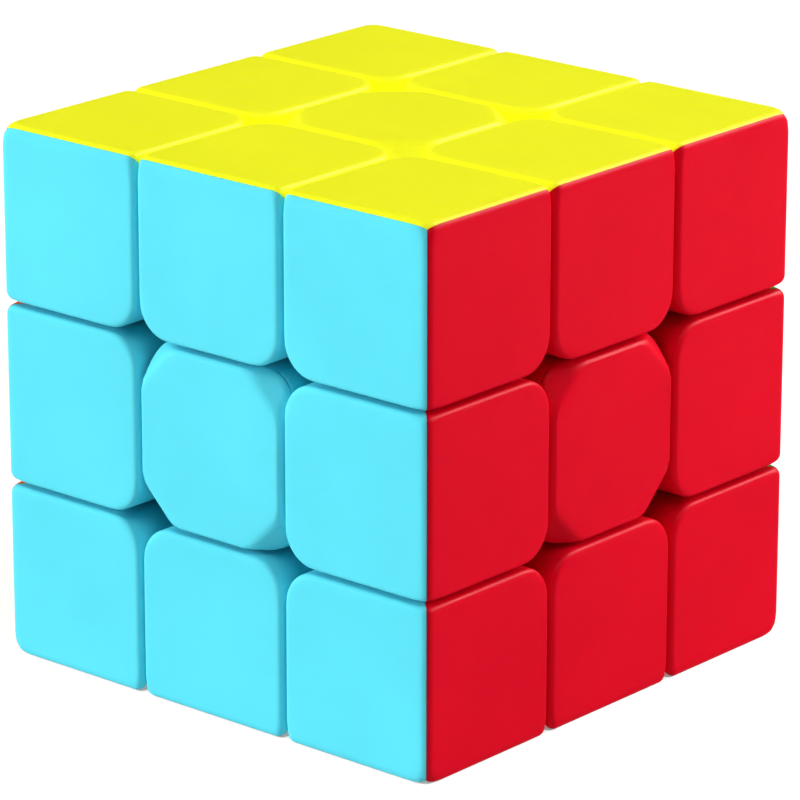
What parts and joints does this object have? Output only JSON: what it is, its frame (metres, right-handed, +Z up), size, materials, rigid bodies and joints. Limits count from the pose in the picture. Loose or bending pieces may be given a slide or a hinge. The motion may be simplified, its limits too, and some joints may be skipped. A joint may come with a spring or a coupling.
{
  "type": "twisty puzzle cube",
  "caption": "Stickerless twisty puzzle cube: self-coloured plastic corner, edge and centre pieces around an armed core, whose layers turn about sprung screws.",
  "frame": {"origin": "middle of the core, which is the middle of the cube", "axes": "+Z up through the yellow face, -Y out of the blue face, +X out of the red face"},
  "size_m": [0.056, 0.056, 0.056],
  "materials": {
    "yellow_plastic": "smooth moulded, self-coloured",
    "white_plastic": "smooth moulded, self-coloured",
    "blue_plastic": "smooth moulded, self-coloured",
    "green_plastic": "smooth moulded, self-coloured",
    "red_plastic": "smooth moulded, self-coloured",
    "orange_plastic": "smooth moulded, self-coloured",
    "core_plastic": "plain moulded",
    "zinc_steel": "zinc plated",
    "spring_steel": "drawn wire"
  },
  "bodies": {
    "core": {"core": "core_plastic", "screws": "zinc_steel", "washers": "zinc_steel", "springs": "spring_steel"},
    "centre_top": {"centre_top": "yellow_plastic"},
    "centre_bottom": {"centre_bottom": "white_plastic"},
    "centre_front": {"centre_front": "blue_plastic"},
    "centre_back": {"centre_back": "green_plastic"},
    "centre_right": {"centre_right": "red_plastic"},
    "centre_left": {"centre_left": "orange_plastic"},
    "edge_top_front": {"edge_top_front_yellow": "yellow_plastic", "edge_top_front_blue": "blue_plastic"},
    "edge_top_back": {"edge_top_back_yellow": "yellow_plastic", "edge_top_back_green": "green_plastic"},
    "edge_top_right": {"edge_top_right_yellow": "yellow_plastic", "edge_top_right_red": "red_plastic"},
    "edge_top_left": {"edge_top_left_yellow": "yellow_plastic", "edge_top_left_orange": "orange_plastic"},
    "edge_bottom_front": {"edge_bottom_front_white": "white_plastic", "edge_bottom_front_blue": "blue_plastic"},
    "edge_bottom_back": {"edge_bottom_back_white": "white_plastic", "edge_bottom_back_green": "green_plastic"},
    "edge_bottom_right": {"edge_bottom_right_white": "white_plastic", "edge_bottom_right_red": "red_plastic"},
    "edge_bottom_left": {"edge_bottom_left_white": "white_plastic", "edge_bottom_left_orange": "orange_plastic"},
    "edge_front_right": {"edge_front_right_blue": "blue_plastic", "edge_front_right_red": "red_plastic"},
    "edge_front_left": {"edge_front_left_blue": "blue_plastic", "edge_front_left_orange": "orange_plastic"},
    "edge_back_right": {"edge_back_right_green": "green_plastic", "edge_back_right_red": "red_plastic"},
    "edge_back_left": {"edge_back_left_green": "green_plastic", "edge_back_left_orange": "orange_plastic"},
    "corner_top_front_right": {"corner_top_front_right_yellow": "yellow_plastic", "corner_top_front_right_blue": "blue_plastic", "corner_top_front_right_red": "red_plastic"},
    "corner_top_front_left": {"corner_top_front_left_yellow": "yellow_plastic", "corner_top_front_left_blue": "blue_plastic", "corner_top_front_left_orange": "orange_plastic"},
    "corner_top_back_right": {"corner_top_back_right_yellow": "yellow_plastic", "corner_top_back_right_green": "green_plastic", "corner_top_back_right_red": "red_plastic"},
    "corner_top_back_left": {"corner_top_back_left_yellow": "yellow_plastic", "corner_top_back_left_green": "green_plastic", "corner_top_back_left_orange": "orange_plastic"},
    "corner_bottom_front_right": {"corner_bottom_front_right_white": "white_plastic", "corner_bottom_front_right_blue": "blue_plastic", "corner_bottom_front_right_red": "red_plastic"},
    "corner_bottom_front_left": {"corner_bottom_front_left_white": "white_plastic", "corner_bottom_front_left_blue": "blue_plastic", "corner_bottom_front_left_orange": "orange_plastic"},
    "corner_bottom_back_right": {"corner_bottom_back_right_white": "white_plastic", "corner_bottom_back_right_green": "green_plastic", "corner_bottom_back_right_red": "red_plastic"},
    "corner_bottom_back_left": {"corner_bottom_back_left_white": "white_plastic", "corner_bottom_back_left_green": "green_plastic", "corner_bottom_back_left_orange": "orange_plastic"}
  },
  "joints": [
    {"name": "top_turn", "type": "hinge", "parent": "core", "child": "centre_top", "pos_m": [0, 0, 0], "axis": [0, 0, 1], "continuous": true},
    {"name": "bottom_turn", "type": "hinge", "parent": "core", "child": "centre_bottom", "pos_m": [0, 0, 0], "axis": [0, 0, 1], "continuous": true},
    {"name": "front_turn", "type": "hinge", "parent": "core", "child": "centre_front", "pos_m": [0, 0, 0], "axis": [0, 1, 0], "continuous": true},
    {"name": "back_turn", "type": "hinge", "parent": "core", "child": "centre_back", "pos_m": [0, 0, 0], "axis": [0, 1, 0], "continuous": true},
    {"name": "right_turn", "type": "hinge", "parent": "core", "child": "centre_right", "pos_m": [0, 0, 0], "axis": [1, 0, 0], "continuous": true},
    {"name": "left_turn", "type": "hinge", "parent": "core", "child": "centre_left", "pos_m": [0, 0, 0], "axis": [1, 0, 0], "continuous": true},
    {"name": "edge_top_front_turn", "type": "hinge", "parent": "centre_front", "child": "edge_top_front", "pos_m": [0, 0, 0], "axis": [0, 0, 1], "continuous": true},
    {"name": "edge_top_back_turn", "type": "hinge", "parent": "centre_back", "child": "edge_top_back", "pos_m": [0, 0, 0], "axis": [0, 0, 1], "continuous": true},
    {"name": "edge_top_right_turn", "type": "hinge", "parent": "centre_top", "child": "edge_top_right", "pos_m": [0, 0, 0], "axis": [1, 0, 0], "continuous": true},
    {"name": "edge_top_left_turn", "type": "hinge", "parent": "centre_top", "child": "edge_top_left", "pos_m": [0, 0, 0], "axis": [1, 0, 0], "continuous": true},
    {"name": "edge_bottom_front_turn", "type": "hinge", "parent": "centre_front", "child": "edge_bottom_front", "pos_m": [0, 0, 0], "axis": [0, 0, 1], "continuous": true},
    {"name": "edge_bottom_back_turn", "type": "hinge", "parent": "centre_back", "child": "edge_bottom_back", "pos_m": [0, 0, 0], "axis": [0, 0, 1], "continuous": true},
    {"name": "edge_bottom_right_turn", "type": "hinge", "parent": "centre_bottom", "child": "edge_bottom_right", "pos_m": [0, 0, 0], "axis": [1, 0, 0], "continuous": true},
    {"name": "edge_bottom_left_turn", "type": "hinge", "parent": "centre_bottom", "child": "edge_bottom_left", "pos_m": [0, 0, 0], "axis": [1, 0, 0], "continuous": true},
    {"name": "edge_front_right_turn", "type": "hinge", "parent": "centre_right", "child": "edge_front_right", "pos_m": [0, 0, 0], "axis": [0, 1, 0], "continuous": true},
    {"name": "edge_front_left_turn", "type": "hinge", "parent": "centre_left", "child": "edge_front_left", "pos_m": [0, 0, 0], "axis": [0, 1, 0], "continuous": true},
    {"name": "edge_back_right_turn", "type": "hinge", "parent": "centre_right", "child": "edge_back_right", "pos_m": [0, 0, 0], "axis": [0, 1, 0], "continuous": true},
    {"name": "edge_back_left_turn", "type": "hinge", "parent": "centre_left", "child": "edge_back_left", "pos_m": [0, 0, 0], "axis": [0, 1, 0], "continuous": true},
    {"name": "corner_top_front_right_turn", "type": "hinge", "parent": "edge_top_right", "child": "corner_top_front_right", "pos_m": [0, 0, 0], "axis": [0, 1, 0], "continuous": true},
    {"name": "corner_top_front_left_turn", "type": "hinge", "parent": "edge_top_left", "child": "corner_top_front_left", "pos_m": [0, 0, 0], "axis": [0, 1, 0], "continuous": true},
    {"name": "corner_top_back_right_turn", "type": "hinge", "parent": "edge_top_right", "child": "corner_top_back_right", "pos_m": [0, 0, 0], "axis": [0, 1, 0], "continuous": true},
    {"name": "corner_top_back_left_turn", "type": "hinge", "parent": "edge_top_left", "child": "corner_top_back_left", "pos_m": [0, 0, 0], "axis": [0, 1, 0], "continuous": true},
    {"name": "corner_bottom_front_right_turn", "type": "hinge", "parent": "edge_bottom_right", "child": "corner_bottom_front_right", "pos_m": [0, 0, 0], "axis": [0, 1, 0], "continuous": true},
    {"name": "corner_bottom_front_left_turn", "type": "hinge", "parent": "edge_bottom_left", "child": "corner_bottom_front_left", "pos_m": [0, 0, 0], "axis": [0, 1, 0], "continuous": true},
    {"name": "corner_bottom_back_right_turn", "type": "hinge", "parent": "edge_bottom_right", "child": "corner_bottom_back_right", "pos_m": [0, 0, 0], "axis": [0, 1, 0], "continuous": true},
    {"name": "corner_bottom_back_left_turn", "type": "hinge", "parent": "edge_bottom_left", "child": "corner_bottom_back_left", "pos_m": [0, 0, 0], "axis": [0, 1, 0], "continuous": true}
  ],
  "couplings": [
    {"joint": "edge_top_front_turn", "follows": "top_turn", "ratio": 1},
    {"joint": "edge_top_back_turn", "follows": "top_turn", "ratio": 1},
    {"joint": "edge_top_right_turn", "follows": "right_turn", "ratio": 1},
    {"joint": "edge_top_left_turn", "follows": "left_turn", "ratio": 1},
    {"joint": "edge_bottom_front_turn", "follows": "bottom_turn", "ratio": 1},
    {"joint": "edge_bottom_back_turn", "follows": "bottom_turn", "ratio": 1},
    {"joint": "edge_bottom_right_turn", "follows": "right_turn", "ratio": 1},
    {"joint": "edge_bottom_left_turn", "follows": "left_turn", "ratio": 1},
    {"joint": "edge_front_right_turn", "follows": "front_turn", "ratio": 1},
    {"joint": "edge_front_left_turn", "follows": "front_turn", "ratio": 1},
    {"joint": "edge_back_right_turn", "follows": "back_turn", "ratio": 1},
    {"joint": "edge_back_left_turn", "follows": "back_turn", "ratio": 1},
    {"joint": "corner_top_front_right_turn", "follows": "front_turn", "ratio": 1},
    {"joint": "corner_top_front_left_turn", "follows": "front_turn", "ratio": 1},
    {"joint": "corner_top_back_right_turn", "follows": "back_turn", "ratio": 1},
    {"joint": "corner_top_back_left_turn", "follows": "back_turn", "ratio": 1},
    {"joint": "corner_bottom_front_right_turn", "follows": "front_turn", "ratio": 1},
    {"joint": "corner_bottom_front_left_turn", "follows": "front_turn", "ratio": 1},
    {"joint": "corner_bottom_back_right_turn", "follows": "back_turn", "ratio": 1},
    {"joint": "corner_bottom_back_left_turn", "follows": "back_turn", "ratio": 1}
  ]
}
